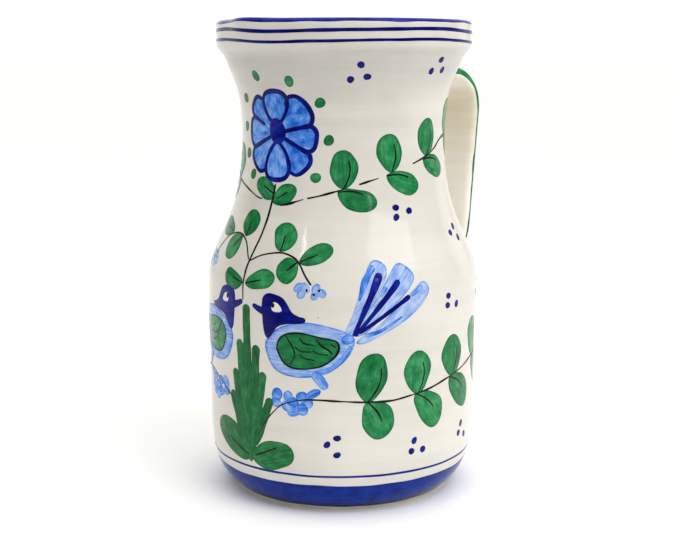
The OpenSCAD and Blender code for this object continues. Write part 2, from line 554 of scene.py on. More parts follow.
def on_strap(distance, around, lift=0.0):
    """Points on the strap and the normals there."""
    distance, around = np.broadcast_arrays(distance, around)
    x, z, nx, nz = [np.interp(distance, ROUTE[:, 0], ROUTE[:, k]) for k in range(1, 5)]
    near = 0.02  # radians to each side, for the slope
    across_a, outward_a = strap_section(around - near)
    across_b, outward_b = strap_section(around + near)
    n_across, n_out = outward_b - outward_a, across_a - across_b
    size = np.hypot(n_across, n_out)
    n_across, n_out = n_across / size, n_out / size
    across, outward = strap_section(around)
    normal = np.stack([nx * n_out, n_across, nz * n_out], -1)
    points = np.stack([x + nx * outward, across, z + nz * outward], -1)
    return points + normal * np.asarray(lift)[..., None], normal


def wall_gap(points):
    """How far points are outside the wall, in mm."""
    return np.hypot(points[..., 0], points[..., 1]) - np.interp(points[..., 2], OUT_HEIGHTS, OUT_RADII)


def contact(around, inside, outside):
    """Distance along the strap at which each line of its surface meets the wall."""
    low, high = np.full(around.shape, float(inside)), np.full(around.shape, float(outside))
    for _ in range(40):
        middle = (low + high) / 2
        buried = wall_gap(on_strap(middle, around)[0]) < 0
        low, high = np.where(buried, middle, low), np.where(buried, high, middle)
    return (low + high) / 2


SECTION = np.arange(SECTION_STEPS) * 2 * math.pi / SECTION_STEPS
LEVEL_L = 28.0  # this far along the route, the strap is outside the wall and still level
GRIP_END = ROUTE_L - math.radians(LOWER_TURN) * (LOWER_BEND - STRAP_T / 2)
UPPER_CONTACT = contact(SECTION, 0, LEVEL_L)
LOWER_CONTACT = contact(SECTION, ROUTE_L, GRIP_END)


def make_strap():
    sink = 1.5  # mm that each end runs into the wall
    share = np.linspace(0, 1, STRAP_ROWS)[:, None]
    distance = (UPPER_CONTACT - sink) * (1 - share) + (LOWER_CONTACT + sink) * share
    points = on_strap(distance, SECTION[None, :])[0].reshape(-1, 3)
    faces = grid_faces(STRAP_ROWS, SECTION_STEPS, wrap=True) + cap_faces(STRAP_ROWS, SECTION_STEPS)
    first, last = points[:SECTION_STEPS].mean(0), points[-SECTION_STEPS:].mean(0)
    points = leaned(np.vstack([points, first, last]))
    make_piece("strap_handle", points, faces, LIT_HANDLE_GLAZE, "handle")


def make_joint(name, node, at, outward):
    """A skirt of smoothed clay round one end of the strap.

    at is the distance along the strap of each point on the wall. outward is +1 where greater distances
    lead out of the wall, and -1 where they lead into it.
    """
    corner, normal = on_strap(at, SECTION)
    size = FILLET * (0.9 + 0.25 * np.sin(SECTION * 2 + 1))
    on_handle = on_strap(at + outward * size, SECTION)[0]
    away = corner + normal * size[:, None]
    radius = np.interp(away[:, 2], OUT_HEIGHTS, OUT_RADII)
    away[:, :2] *= (radius / np.hypot(away[:, 0], away[:, 1]))[:, None]
    buried = corner - normal
    buried[:, :2] *= 1 - 1.2 / np.hypot(buried[:, 0], buried[:, 1])[:, None]
    rows = []
    for t in np.linspace(0, 1, 8):
        rows.append((1 - t) ** 2 * on_handle + 2 * t * (1 - t) * corner + t**2 * away)
    rows.append(buried)
    faces = ring_faces(len(rows), SECTION_STEPS)
    if outward > 0:
        faces = [face[::-1] for face in faces]
    hidden = np.arange(len(faces)) >= (len(rows) - 2) * SECTION_STEPS
    points = leaned(np.vstack(rows))
    make_piece(name, points, faces, LIT_HANDLE_GLAZE, node, flat=hidden)


# ---- brush work: shapes

# How far the layers of paint stand off the wall
WASH_LIFT, GREEN_LIFT, NAVY_LIFT, LINE_LIFT, DETAIL_LIFT = 0.07, 0.10, 0.13, 0.17, 0.21
SUNK = -0.12
STEP = 1.3  # between the points along a stroke or round a patch
strokes_made = 0


def phases(count):
    """Random places in a wave's cycle, in radians."""
    return rng.uniform(0, 6.28, count)


def pooling(inset):
    """1 at the edge of a stroke, falling to 0 further in. inset is the distance from the edge in mm."""
    return np.exp(-inset / 0.45)


def pairs(first, second):
    """The (first, second) values of every point of a grid, row by row."""
    return np.stack(np.broadcast_arrays(first, second), -1).reshape(-1, 2)


def mm_scale(climb):
    """Millimetres on the wall for one unit of (angle, climb)."""
    climb = np.asarray(climb, float)
    return np.stack([mm_per_degree(climb), np.ones_like(climb)], -1)


def smooth_path(points, closed=False):
    """Close-set points on the smooth curve through the given ones."""
    keys = np.array(points, float)
    if closed:
        keys = np.vstack([keys[-1:], keys, keys[:2]])
    else:
        keys = np.vstack([keys[:1], keys, keys[-1:]])
    t = np.linspace(0, 1, 13)[:-1, None]
    spans = []
    for before, start, end, after in zip(keys, keys[1:], keys[2:], keys[3:]):
        spans.append(
            start
            + 0.5 * t * (end - before)
            + 0.5 * t**2 * (2 * before - 5 * start + 4 * end - after)
            + 0.5 * t**3 * (3 * start - before - 3 * end + after)
        )
    if not closed:
        spans.append(keys[-1:])
    return np.vstack(spans)


def distances(path):
    """Distance in mm from the start of the path to each of its points."""
    scale = mm_scale(path[:, 1])
    steps = np.diff(path, axis=0) * (scale[1:] + scale[:-1]) / 2
    return np.concatenate([[0], np.cumsum(np.hypot(*steps.T))])


def resampled(path, at):
    """The places on the path at the distances at."""
    along = distances(path)
    return np.column_stack([np.interp(at, along, path[:, 0]), np.interp(at, along, path[:, 1])])


def next_lift(lift):
    """The next stroke's lift, a hair off its neighbours', so that crossing strokes never coincide."""
    global strokes_made
    strokes_made += 1
    return lift + 0.002 * (strokes_made % 12)


def painted(places, lift, faces, brush, edge):
    """A closed stroke of paint: points, faces, brush coordinates, edge and load values, flat marks."""
    dome = 1 - 0.35 * edge**2
    top = on_wall(places[:, 0], places[:, 1], next_lift(lift) * dome)
    bottom = on_wall(places[:, 0], places[:, 1], SUNK)
    points, faces, flat = closed_sheet(top, bottom, faces)
    offset = rng.uniform(-500, 500, 2)
    load = np.full(len(points), rng.uniform(0, 1))
    return points, faces, np.tile(brush + offset, (2, 1)), np.tile(edge, 2), load, flat


def stroke(points, widths, lift, wobble=0.06):
    """A brush stroke along the points. The widths, in mm, are spread evenly from its start to its end."""
    path = smooth_path(points)
    length = distances(path)[-1]
    start, end = widths[0] / 2, widths[-1] / 2
    cap = 1 - np.cos(np.radians([0, 22, 45, 67, 90]))
    steps = max(2, int((length - start - end) / STEP))
    middle = np.linspace(start, max(start + 0.1, length - end), steps + 1)[1:-1]
    at = np.concatenate([start * cap, middle, length - end * cap[::-1]])
    at = np.maximum.accumulate(np.clip(at, 0, length))
    half = np.interp(at / length, np.linspace(0, 1, len(widths)), widths) / 2
    phase = phases(2)
    half = half * (1 + wobble * np.sin(at / 2.1 + phase[0]) + wobble * np.sin(at / 5.3 + phase[1]))
    for reach, size in ((at, start), (length - at, end)):
        half = half * np.sqrt(np.clip(1 - (1 - np.clip(reach / size, 0, 1)) ** 2, 0.02, 1))
    path = resampled(path, at)
    scale = mm_scale(path[:, 1])
    ahead = np.gradient(path * scale.mean(0), axis=0)
    ahead /= np.maximum(np.hypot(*ahead.T), 1e-6)[:, None]
    side = np.column_stack([-ahead[:, 1], ahead[:, 0]])
    across = np.array([1, 0.8, 0.45, 0, -0.45, -0.8, -1])
    places = path[:, None, :] + (half[:, None] * across)[..., None] * (side / scale)[:, None, :]
    brush = pairs(at[:, None], half[:, None] * across)
    inset = (half[:, None] * (1 - np.abs(across))).reshape(-1)
    faces = [face[::-1] for face in grid_faces(len(at), len(across))]
    return painted(places.reshape(-1, 2), lift, faces, brush, pooling(inset))


def patch(outline, lift, axis=(1.0, 0.0), step=STEP):
    """A filled shape inside the outline, brushed along axis."""
    path = smooth_path(outline, closed=True)
    path = np.vstack([path, path[:1]])
    length = distances(path)[-1]
    count = max(10, int(length / step))
    rim = resampled(path, np.arange(count) * length / count)
    centre = rim.mean(0)
    scale = mm_scale(centre[1])
    area = np.sum(rim[:, 0] * np.roll(rim[:, 1], -1) - rim[:, 1] * np.roll(rim[:, 0], -1))
    if area < 0:
        rim = rim[::-1]
    shares = np.array([1, 0.93, 0.8, 0.62, 0.42, 0.22])
    rings = centre + (rim - centre)[None] * shares[:, None, None]
    places = np.vstack([rings.reshape(-1, 2), centre])
    flat = (places - centre) * scale
    axis = np.array(axis) / np.hypot(*axis)
    brush = np.column_stack([flat @ axis, flat @ np.array([-axis[1], axis[0]])])
    size = np.hypot(*((rim - centre) * scale).T)
    inset = np.append((size[None] * (1 - shares[:, None])).reshape(-1), size.min())
    faces = grid_faces(len(shares), count, wrap=True)
    inner = (len(shares) - 1) * count
    for j in range(count):
        faces.append((inner + j, inner + (j + 1) % count, len(places) - 1))
    return painted(places, lift, faces, brush, pooling(inset))


def dab(centre, width, height, lift, tilt=0.0):
    """A small oval touch of the brush, in mm, turned by tilt degrees."""
    turn = np.radians(np.arange(0, 360, 24))
    phase = phases(3)
    size = 1 + 0.06 * np.sin(turn + phase[0]) + 0.06 * np.sin(2 * turn + phase[1])
    size = size + 0.03 * np.sin(3 * turn + phase[2])
    x, y = width / 2 * np.cos(turn) * size, height / 2 * np.sin(turn) * size
    c, s = math.cos(math.radians(tilt)), math.sin(math.radians(tilt))
    scale = mm_per_degree(centre[1])
    outline = np.column_stack([centre[0] + (x * c - y * s) / scale, centre[1] + x * s + y * c])
    return patch(outline, lift, (c, s), step=0.8)


def span(base, tip):
    """The scale midway between two places, and the way from one to the other in mm."""
    scale = mm_scale((base[1] + tip[1]) / 2)
    return scale, (np.array(tip, float) - base) * scale


def leaf(base, tip, width, lift=GREEN_LIFT, bend=0.0):
    """A leaf from base to tip with the given width in mm. bend bows it to the left of its direction."""
    scale, axis = span(base, tip)
    length = np.hypot(*axis)
    axis /= length
    side = np.array([-axis[1], axis[0]])
    t = (1 - np.cos(np.linspace(0, math.pi, 11))) / 2
    shape = t**0.62 * (1 - t) ** 0.5
    shape *= width / 2 / shape.max()
    middle = bend * length * np.sin(math.pi * t)
    phase = phases(4)
    left = shape * (1 + 0.07 * np.sin(5 * t + phase[0]) + 0.03 * np.sin(11 * t + phase[1]))
    right = shape * (1 + 0.07 * np.sin(5 * t + phase[2]) + 0.03 * np.sin(11 * t + phase[3]))
    along = np.concatenate([t, t[-2:0:-1]]) * length
    across = np.concatenate([middle + left, (middle - right)[-2:0:-1]])
    outline = np.array(base) + (along[:, None] * axis + across[:, None] * side) / scale
    return patch(outline, lift, axis)


def vein(base, tip, reach=0.62, bend=0.0):
    """The dark line drawn up the middle of a leaf, over reach of the way from base to tip."""
    width = 0.75
    scale, axis = span(base, tip)
    side = np.array([-axis[1], axis[0]])
    points = []
    for t in np.linspace(0, reach, 5):
        points.append(np.array(base) + (axis * t + side * bend * math.sin(math.pi * t)) / scale)
    return stroke(points, [width, width * 1.3, width], LINE_LIFT, wobble=0.12)


def make_paint(name, material, parts):
    """One painted piece from its strokes."""
    points = np.vstack([part[0] for part in parts])
    faces, start = [], 0
    for part in parts:
        faces += [tuple(i + start for i in face) for face in part[1]]
        start += len(part[0])
    flat = np.concatenate([part[5] for part in parts])
    mesh = make_piece(name, points, faces, material, flat=flat).data
    corners = np.zeros(len(mesh.loops), np.int32)
    mesh.loops.foreach_get("vertex_index", corners)
    brush = np.vstack([part[2] for part in parts])
    mesh.uv_layers.new(name="brush").data.foreach_set("uv", brush[corners].ravel())
    for label, k in (("edge", 3), ("load", 4)):
        values = np.concatenate([part[k] for part in parts])
        mesh.attributes.new(label, "FLOAT", "POINT").data.foreach_set("value", values)


# ---- brush work: lines all round

# (angle, height) of the wobble that the collar lines share, about their mean height
COLLAR_WOBBLE = [
    (-180, 0), (-120, 0.4), (-85, 0.5), (-60, 0.8), (-40, -0.7), (-10, -0.3),
    (20, 0.3), (45, 0.7), (75, -0.4), (120, 0.2), (180, 0),
]


def ring_line(name, low, high, lift, material, wobble=None, ragged=0.12):
    """A band painted all round between two climbs, with a slightly uneven edge."""
    angles = np.arange(360) - 180.0
    turn = np.radians(angles)
    sway = smooth_through(wobble, angles) if wobble else 0.15 * np.sin(turn + 1) + 0.1 * np.sin(2 * turn)
    edges = []
    for climb in (low, high):
        phase = phases(4)
        rough = np.sin(7 * turn + phase[0]) + np.sin(13 * turn + phase[1])
        rough = rough + 0.7 * np.sin(23 * turn + phase[2])
        edges.append(climb + sway + ragged * 0.4 * rough)
    columns = max(7, int((high - low) / 1.5) * 2 + 1)
    share = (1 - np.cos(np.linspace(0, math.pi, columns))) / 2
    climbs = edges[0][:, None] * (1 - share) + edges[1][:, None] * share
    places = pairs(angles[:, None], climbs)
    inset = np.tile((high - low) * np.minimum(share, 1 - share), len(angles))
    brush = pairs(angles[:, None] * 1.2, climbs)
    faces = ring_faces(len(angles), columns, wrap=False)
    make_paint(name, material, [painted(places, lift, faces, brush, pooling(inset))])


def make_rings():
    ring_line("rim_band", 256.0, INNER_CLIMB + 2.5, NAVY_LIFT, NAVY, ragged=0.35)
    ring_line("collar_line_upper", 251.2, 253.0, NAVY_LIFT, NAVY, COLLAR_WOBBLE)
    ring_line("collar_line_lower", 246.1, 247.6, NAVY_LIFT, NAVY, COLLAR_WOBBLE)
    ring_line("base_line", 21.6, 22.8, NAVY_LIFT, BAND)
    ring_line("base_band", 3.0, 16.7, NAVY_LIFT, BAND, ragged=0.25)
    # painted shadow: a near-black strip where the band turns under towards the foot
    ring_line("base_band_painted_shadow", 1.75, 3.6, LINE_LIFT, BAND_FOOT_SHADOW, ragged=0.25)


# ---- brush work: the motifs

MIRROR = -84.0  # the painting is mirrored about half of this angle


def mirrored(place):
    return (MIRROR - place[0], place[1])


def leaf_pair(upper, lower, leaves, veins, hand=1):
    """Two leaves on a vine, each given as (base, tip, width, bend). hand is -1 left of the mirror line."""
    for (base, tip, width, bend), reach, bow in ((upper, 0.72, -0.17), (lower, 0.62, 0.14)):
        leaves.append(leaf(base, tip, width, bend=bend))
        veins.append(vein(base, tip, reach, bow * hand))


def make_leaves(name, leaves, veins):
    """The leaves of one motif as one piece, and their veins as another."""
    make_paint(name + "_leaves", LEAF, leaves)
    make_paint(name + "_leaf_veins", LINE, veins)


def make_flower():
    """The flower, the two leaves under it and the dots round it."""
    centre = (-38.2, 199.5)
    scale = mm_per_degree(centre[1])

    def polar(angle, radius):
        turn = math.radians(angle)
        return (centre[0] + radius * math.cos(turn) / scale, centre[1] + radius * math.sin(turn))

    # (part of the way to the boundary, part of the reach) along one side of a petal
    straight = [(-1, 0.2), (-1, 0.42), (-1, 0.65), (-1, 0.85), (-0.6, 0.98)]
    teardrop = [(-0.6, 0.2), (-1.25, 0.42), (-1.2, 0.65), (-1.0, 0.85), (-0.6, 0.98)]
    # (first boundary, last boundary, reach, where the outline starts, where it ends) of each petal
    petals = [
        (12, 67, 23.5, 0.2, 0.6), (118, 155, 23.3, 0.7, 0.25), (155, 204, 22.3, 0.3, 0.2),
        (204, 248, 24.3, 0.2, 0.7), (293, 332, 25.3, 0.7, 0.2), (332, 372, 23.5, 0.2, 0.2),
        (67, 118, 21.8, 0, 0), (248, 293, 24.3, 0, 0),
    ]
    wash, outlines = [], []
    for first, last, reach, start, end in petals:
        middle, half = (first + last) / 2, (last - first) / 2
        side = teardrop if start == end == 0 else straight
        loop = [(turn, share) for turn, share in side if share >= start] + [(0, 1.0)]
        loop += [(-turn, share) for turn, share in side[::-1] if share >= end]
        points = [polar(middle + turn * half, reach * share) for turn, share in loop]
        axis = (math.cos(math.radians(middle)), math.sin(math.radians(middle)))
        wash.append(patch([centre] + points, WASH_LIFT, axis))
        outlines.append(stroke(points, [2.0, 2.3, 2.6, 2.3, 2.0], NAVY_LIFT))
    make_paint("flower_petals", PETAL, wash)
    make_paint("flower_outlines", NAVY, outlines)
    make_paint("flower_centre", NAVY, [dab((-38, 200), 11.5, 13, LINE_LIFT, 20)])
    leaves = [leaf((-37.5, 166), (-52.2, 174), 10.5, bend=-0.05), leaf((-38.8, 164), (-24.8, 171.5), 9.8)]
    veins = [vein((-38.5, 168), (-51, 174)), vein((-36, 165.5), (-26, 171.5))]
    make_leaves("flower", leaves, veins)
    places = [
        (-48.5, 228.8), (-28, 226.5), (-12.5, 215.5), (-8, 196.3), (-14.5, 177),
        (-64.5, 217.3), (-67.5, 202.2), (-64.5, 187.8), (-57, 177),
    ]
    make_paint("flower_dots", LEAF, [dab(place, 5.6, 5.4, GREEN_LIFT, 20) for place in places])


def make_branches():
    """The stem under the flower and the two small branches that leave it."""
    stem = [(-38, 173), (-38.8, 164), (-40, 152), (-42, 140), (-43.5, 132), (-44, 124), (-44.2, 113)]
    right = [(-43, 133.5), (-37, 137), (-28, 139), (-22, 137.5), (-18.5, 134.5), (-15, 128), (-12.5, 124)]
    left = [(-44, 134), (-48, 141), (-52, 144.5), (-57, 146), (-63, 145), (-68, 142), (-75, 133)]
    lines = [
        stroke(stem, [1.2, 1.3, 1.2, 1.1, 0.7], LINE_LIFT),
        stroke(right, [0.7, 0.8, 0.9, 1.0], LINE_LIFT),
        stroke(left, [0.7, 0.8, 0.9, 0.7], LINE_LIFT),
    ]
    leaves = [
        ((-44.5, 122), (-57, 126), 10.5, 0.1), ((-43, 122), (-28.3, 127), 10, 0),
        ((-28, 139.5), (-26.5, 154), 13.8, 0), ((-19.2, 135), (-27, 126.5), 12.5, 0),
        ((-18.5, 135), (-4.3, 142.3), 9.5, 0), ((-51, 145), (-49.5, 159), 13, 0),
        ((-53.5, 145), (-62.5, 134), 12.5, 0), ((-63, 146), (-80, 149.5), 9.5, 0),
    ]
    make_paint("branch_lines", LINE, lines)
    make_paint("branch_leaves", LEAF, [leaf(b, t, w, bend=bend) for b, t, w, bend in leaves])
    make_paint("branch_leaf_veins", LINE, [vein(b, t, 0.55) for b, t, w, bend in leaves])
    blossoms, dots = [], []
    for middle in ((-12.8, 120.8), (-75, 130.3)):
        for dx, dz in ((-4.8, 1.8), (-2, 1.6), (-3.8, -1.6), (2.2, 1.6), (4.6, -0.6), (2, -1.8)):
            blossoms.append(dab((middle[0] + dx, middle[1] + dz), 5.6, 4.2, WASH_LIFT, 30 * dx))
        for dx, dz in ((-1.5, 0.5), (1.5, -1.5), (3.5, 0.5)):
            dots.append(dab((middle[0] + dx, middle[1] + dz), 1.2, 1.5, LINE_LIFT, 40))
    make_paint("branch_blossoms", PALE, blossoms)
    make_paint("branch_blossom_dots", LINE, dots)


def make_upper_vines():
    """The vine behind the flower, which goes round to the handle on both sides."""
    lines = [
        [(-46, 165), (-50, 165.5), (-62, 169.5), (-75, 173), (-95, 178), (-120, 184), (-150, 191),
         (-180, 196)],
        [(-33.5, 162.3), (-28, 163.5), (-20.5, 166)],
        [(-18.5, 166.5), (-12, 168), (-5, 170), (0, 171.5)],
        [(8, 173.8), (13, 175.3), (18.5, 176.8)],
        [(40, 183.5), (51, 187), (60, 191), (68, 195.5), (85, 199), (104, 202)],
    ]
    make_paint("upper_vine_lines", LINE, [stroke(line, [0.7, 1.3, 0.7], LINE_LIFT, 0.2) for line in lines])
    leaves, veins = [], []
    bases = [(0, 171.5, 0), (26, 179.5, -1.5), (51, 187, 1.0), (78, 197, 0), (102, 201, 2)]
    for angle, climb, spread in bases:
        upper = ((angle, climb), (angle + spread, climb + 20), 14.6, 0.0)
        lower = ((angle - 3, climb - 1.5), (angle + 17, climb - 8), 11.5, -0.04)
        leaf_pair(upper, lower, leaves, veins)
    for angle in (-78, -104, -130, -156, -180):
        climb = 173.5 - (angle + 78) * 0.22
        upper = ((angle, climb), (angle + 1.5, climb + 19.5), 14.5, 0.0)
        lower = ((angle + 3, climb - 1.5), (angle - 16, climb - 8.5), 11.5, 0.04)
        leaf_pair(upper, lower, leaves, veins, -1)
    make_leaves("upper_vine", leaves, veins)


def make_lower_vines():
    """The vines that leave the plant's foot on both sides, with the blossoms near it."""
    right = [
        (-36, 42), (-33, 49), (-28, 56.5), (-24, 60.5), (-17, 63.3), (-10, 64), (0, 63.5),
        (10, 62.8), (20, 62.8), (28, 64.3), (38, 66.5), (48, 69.7), (60, 73), (71, 76.5),
        (90, 80), (112, 83), (138, 84),
    ]
    left = [(-48, 42), (-50, 56), (-55, 61), (-62, 65.5), (-70, 69), (-80, 69.5)]
    left += [mirrored(place) for place in right[7:]]
    lines = [stroke(route, [0.4, 1.0, 0.9, 0.8, 0.8], LINE_LIFT, 0.2) for route in (right, left)]
    make_paint("lower_vine_lines", LINE, lines)
    leaf_pairs = [
        (((10, 62.5), (14, 88.5), 16.5, 0.04), ((10, 63), (16.8, 43), 17.5, 0.1)),
        (((32, 64.5), (31.8, 88), 16, 0.0), ((31, 65), (43.5, 46.3), 16.3, 0.06)),
        (((52, 70), (51.5, 93), 17.5, 0.0), ((50, 70.2), (65, 51.5), 15.5, 0.06)),
        (((73, 76), (70.5, 98.5), 16, 0.0), ((72, 76), (86, 59), 15, 0.06)),
        (((94, 80.5), (92.5, 102), 16, 0.0), ((93, 80.5), (107, 63), 15, 0.06)),
        (((115, 83.3), (114.5, 104), 16, 0.0), ((114, 83.3), (127, 66), 15, 0.06)),
    ]
    leaves, veins = [], []
    for pair in leaf_pairs:
        leaf_pair(*pair, leaves, veins)
        flipped = [(mirrored(base), mirrored(tip), width, -bend) for base, tip, width, bend in pair]
        leaf_pair(*flipped, leaves, veins, -1)
    make_leaves("lower_vine", leaves, veins)
    dabs = []
    # (angle, climb, width, height) of each touch of the brush
    touches = [
        (-27.2, 65, 6.5, 7.5), (-22, 65, 5.5, 6), (-16, 65, 6.5, 6), (-11.5, 67, 8.5, 4.5),
        (-27.5, 60.8, 6.5, 5), (-20, 62, 7, 5.5), (-14, 61.8, 6.5, 5.5), (-22.5, 59.3, 7.5, 5.5),
        (-19.5, 57, 8, 5), (-15.8, 58.5, 6.5, 6.5),
    ]
    for angle, climb, width, height in touches:
        for place, hand in (((angle, climb), 1), (mirrored((angle, climb)), -1)):
            tilt = 30 if width > 8.2 else rng.uniform(-40, 20)  # the widest touch lies along the vine
            dabs.append(dab(place, width, height, WASH_LIFT, hand * tilt))
    make_paint("lower_vine_blossoms", WASH, dabs)


def make_bird(name, origin, face):
    """A bird with the middle of its wing near origin. face is -1 if it looks to the viewer's left, else 1.

    Its (x, y) places are in mm from origin, with x positive towards its tail.
    """
    scale = mm_per_degree(origin[1])

    def spot(x, y):
        return (origin[0] - face * x / scale, origin[1] + y)

    def line(points, widths, lift, wobble=0.06):
        return stroke([spot(x, y) for x, y in points], widths, lift, wobble)

    def shape(points, lift, axis=(1, 0)):
        return patch([spot(x, y) for x, y in points], lift, axis)

    body = [(30, 5), (25.5, -4.5), (15, -12), (0, -14.7), (-13, -11.3), (-18.8, 0)]
    body += [(-15.5, 7), (-8, 12), (5, 14.7), (20, 12), (27, 9)]
    make_paint(name + "_body", PALE, [shape(body, WASH_LIFT)])
    feathers = [
        [(25, 9), (29, 20), (33, 33), (37.5, 44), (42, 46.3), (46.8, 43), (46, 37), (39, 25), (32, 10)],
        [(29, 9), (37, 21), (45, 34), (53, 44), (60, 41.5), (62.3, 36), (55, 27), (45, 18), (35, 9)],
        [(31, 5.5), (42, 13), (55, 24.5), (67, 34.3), (71.5, 30), (68, 23.5), (58, 15.5), (45, 8.5),
         (34, 3.8)],
    ]
    make_paint(name + "_tail", PALE, [shape(points, WASH_LIFT, (0.7 * -face, 0.7)) for points in feathers])
    accents = [
        line([(32, 26), (35, 36), (40, 44)], [1.5, 3.6, 4.0], GREEN_LIFT),
        line([(43, 28), (46, 33)], [2, 3], GREEN_LIFT),
        line([(60, 27.5), (67, 32)], [2.6, 3.0], GREEN_LIFT),
        line([(35, 8), (44, 10.5), (55, 17)], [2.4, 1.6, 1.0], GREEN_LIFT),
        line([(8, -12.4), (17, -9.6), (24, -3.5), (28, 3)], [3.4, 3, 2.4, 2], GREEN_LIFT),
        dab(spot(26.5, 6.3), 6.5, 5.5, GREEN_LIFT),
        line([(8.5, -11), (12.5, -16), (15.5, -20)], [4.6, 5.4, 4.2], GREEN_LIFT),
    ]
    make_paint(name + "_tail_and_leg", WASH, accents)
    quills = [((29.2, 8), (43.1, 40), 4.3), ((30, 8), (53.4, 36), 3.4), ((32, 9.4), (59.5, 27.5), 2.8)]
    quills = [line([start, end], [1.7, width * 0.8, width], NAVY_LIFT) for start, end, width in quills]
    make_paint(name + "_tail_quills", NAVY, quills)
    wing = [(-11.8, 0), (-10, 5.2), (-5, 8.3), (3, 8.8), (12, 7), (20.5, 5.2)]
    wing += [(21.7, 0.6), (18.5, -4.2), (12, -8.2), (2, -10), (-7, -8)]
    make_paint(name + "_wing", LEAF, [shape(wing, GREEN_LIFT)])
    marks = [
        wing + wing[:1],
        [(-6.8, 7.4), (-3, 2), (-1.5, -3.1), (-4, -7.8)],
        [(1, 6.6), (3.4, 3.8), (9.2, 2.8)],
        [(10, 5.9), (13.2, 2.5), (16.5, 0.6), (18.6, -1.6)],
        [(-1.4, 1.6), (1.8, -0.6), (7.5, -0.6)],
        [(8, 0.3), (11.6, -1.6), (16.5, -1.9)],
        [(1.4, -2.2), (3.4, -4.1), (9.2, -5)],
        [(17.2, 4), (20.2, 2.2)],
    ]
    marks = [line(points, [0.8, 1.0, 0.8], LINE_LIFT, 0.15) for points in marks]
    make_paint(name + "_wing_lines", LINE, marks)
    head = [(-13.8, 28.4), (-8.5, 26.8), (-5.4, 23.3), (-3, 19.6), (0.5, 17.6), (4, 16.8)]
    head += [(3.4, 14.2), (-6.5, 13), (-11.5, 11), (-14.5, 6.8), (-17.2, 4.6)]
    head += [(-19.3, 7.5), (-20.3, 14), (-20.9, 21), (-20.3, 25.8), (-17.8, 28.2)]
    beak = line([(-18, 18.5), (-22.5, 19.5), (-27, 21.5)], [5.5, 3.4, 2.2], NAVY_LIFT)
    make_paint(name + "_head", NAVY, [shape(head, NAVY_LIFT), beak])
    eye = [(-14.8, 21), (-13.8, 24), (-10.8, 23.4), (-8.6, 20.4), (-9.6, 19.2), (-13.6, 19.2)]
    make_paint(name + "_eye", WHITE, [shape(eye, DETAIL_LIFT)])
    make_paint(name + "_pupil", LINE, [dab(spot(-13.8, 22.3), 2.1, 3.0, DETAIL_LIFT + 0.04)])


def make_plant():
    """The tall plant between the birds: blades that rise from one root, and two broad leaves."""
    root_angle, root_climb = -41.2, 27
    # (angle, climb) of each blade's tip, and the blade's width
    blades = [
        (-42.2, 113, 5.6), (-46.5, 93.5, 5.6), (-37, 92, 5.6), (-49.7, 77, 5.6),
        (-33.6, 78, 5.6), (-52, 64.5, 5.2), (-30, 64.5, 5.2),
    ]
    parts = []
    for angle, climb, width in blades:
        middle = (root_angle + (angle - root_angle) * 0.62, (root_climb + climb) / 2 + 3)
        low = (root_angle + (angle - root_angle) * 0.2, root_climb + 8)
        parts.append(stroke([low, middle, (angle, climb - 2)], [4, 6.2, width, width], GREEN_LIFT, 0.04))
    parts.append(leaf((-41.2, 25), (-41.6, 78), 13, GREEN_LIFT - 0.02))
    make_paint("plant_blades", PLANT, parts)
    leaves = [leaf((-42, 27), (-64.5, 42), 17, bend=-0.06), leaf((-40, 27.5), (-19.8, 34), 16.5, bend=0.02)]
    make_paint("plant_low_leaves", PLANT, leaves)
    veins = [vein((-42, 29), (-60, 39), 0.7), vein((-38.5, 29.5), (-24, 38), 0.75)]
    make_paint("plant_low_veins", LINE, veins)


def make_dots():
    """The groups of three blue dots. Those on the right are mirrored on the side that faces away."""
    places = [
        (3, 227.5), (7.5, 234.7), (11, 228.7), (46.5, 231.3), (51, 237.3), (55, 232),
        (27, 161.5), (26.5, 156.8), (34.5, 159.5), (61, 145.5), (66.5, 148.2), (67.5, 142.2),
        (48, 114.5), (47.5, 109.5), (53.5, 109.3), (-2, 43.7), (-6, 40.2), (-2, 34.6),
        (31, 39.5), (29.7, 33.8), (35.5, 33.8), (61.3, 41), (59.5, 36), (65.5, 33.5),
        (94, 231), (97, 226), (100, 232), (96, 150), (101, 146), (94, 143),
        (90, 40), (95, 36), (88, 34), (84, 116), (88, 112), (81, 110),
    ]
    dots = []
    for place in places:
        dots.append(dab(place, 4.0, 3.4, NAVY_LIFT, rng.uniform(-30, 60)))
        if place[0] > 5:
            dots.append(dab(mirrored(place), 4.0, 3.4, NAVY_LIFT, rng.uniform(-60, 30)))
    make_paint("dot_groups", NAVY, dots)


def make_handle_lines():
    """The green line painted along each edge of the strap, broad at both ends."""
    rows, columns, lift = 130, 12, 0.12
    reach = 0.2, 0.72  # radians round the section from the edge, to the inner and to the outer face
    share = np.linspace(0, 1, rows)[:, None]
    taper = 1 - 0.45 * np.clip((share - 0.1) / 0.16, 0, 1) + 1.1 * np.clip((share - 0.9) / 0.1, 0, 1)
    lines = [
        ("handle_line_near", -reach[0], reach[1]),
        ("handle_line_far", math.pi - reach[1], math.pi + reach[0]),
    ]
    for name, start, end in lines:
        around = np.linspace(start, end, columns)
        first = contact(around, 0, LEVEL_L) + 1.5
        last = contact(around, ROUTE_L, GRIP_END) - 4.0
        distance = first * (1 - share) + last * share
        centre = (start + end) / 2
        narrow = taper * (1 + 0.07 * np.sin(distance / 7) + 0.05 * np.sin(distance / 2.9))
        turn = centre + (around[None, :] - centre) * narrow
        top, bottom = [leaned(on_strap(distance, turn, side)[0].reshape(-1, 3)) for side in (lift, -lift)]
        points, faces, flat = closed_sheet(top, bottom, grid_faces(rows, columns))
        brush = np.tile(pairs(distance, turn * 5), (2, 1))
        inset = 5.0 * (1 - np.abs(np.linspace(-1, 1, columns)))
        edge = pooling(np.tile(inset, 2 * rows))
        load = np.full(len(points), 0.5)
        make_paint(name, LEAF, [(points, faces, brush, edge, load, flat)])


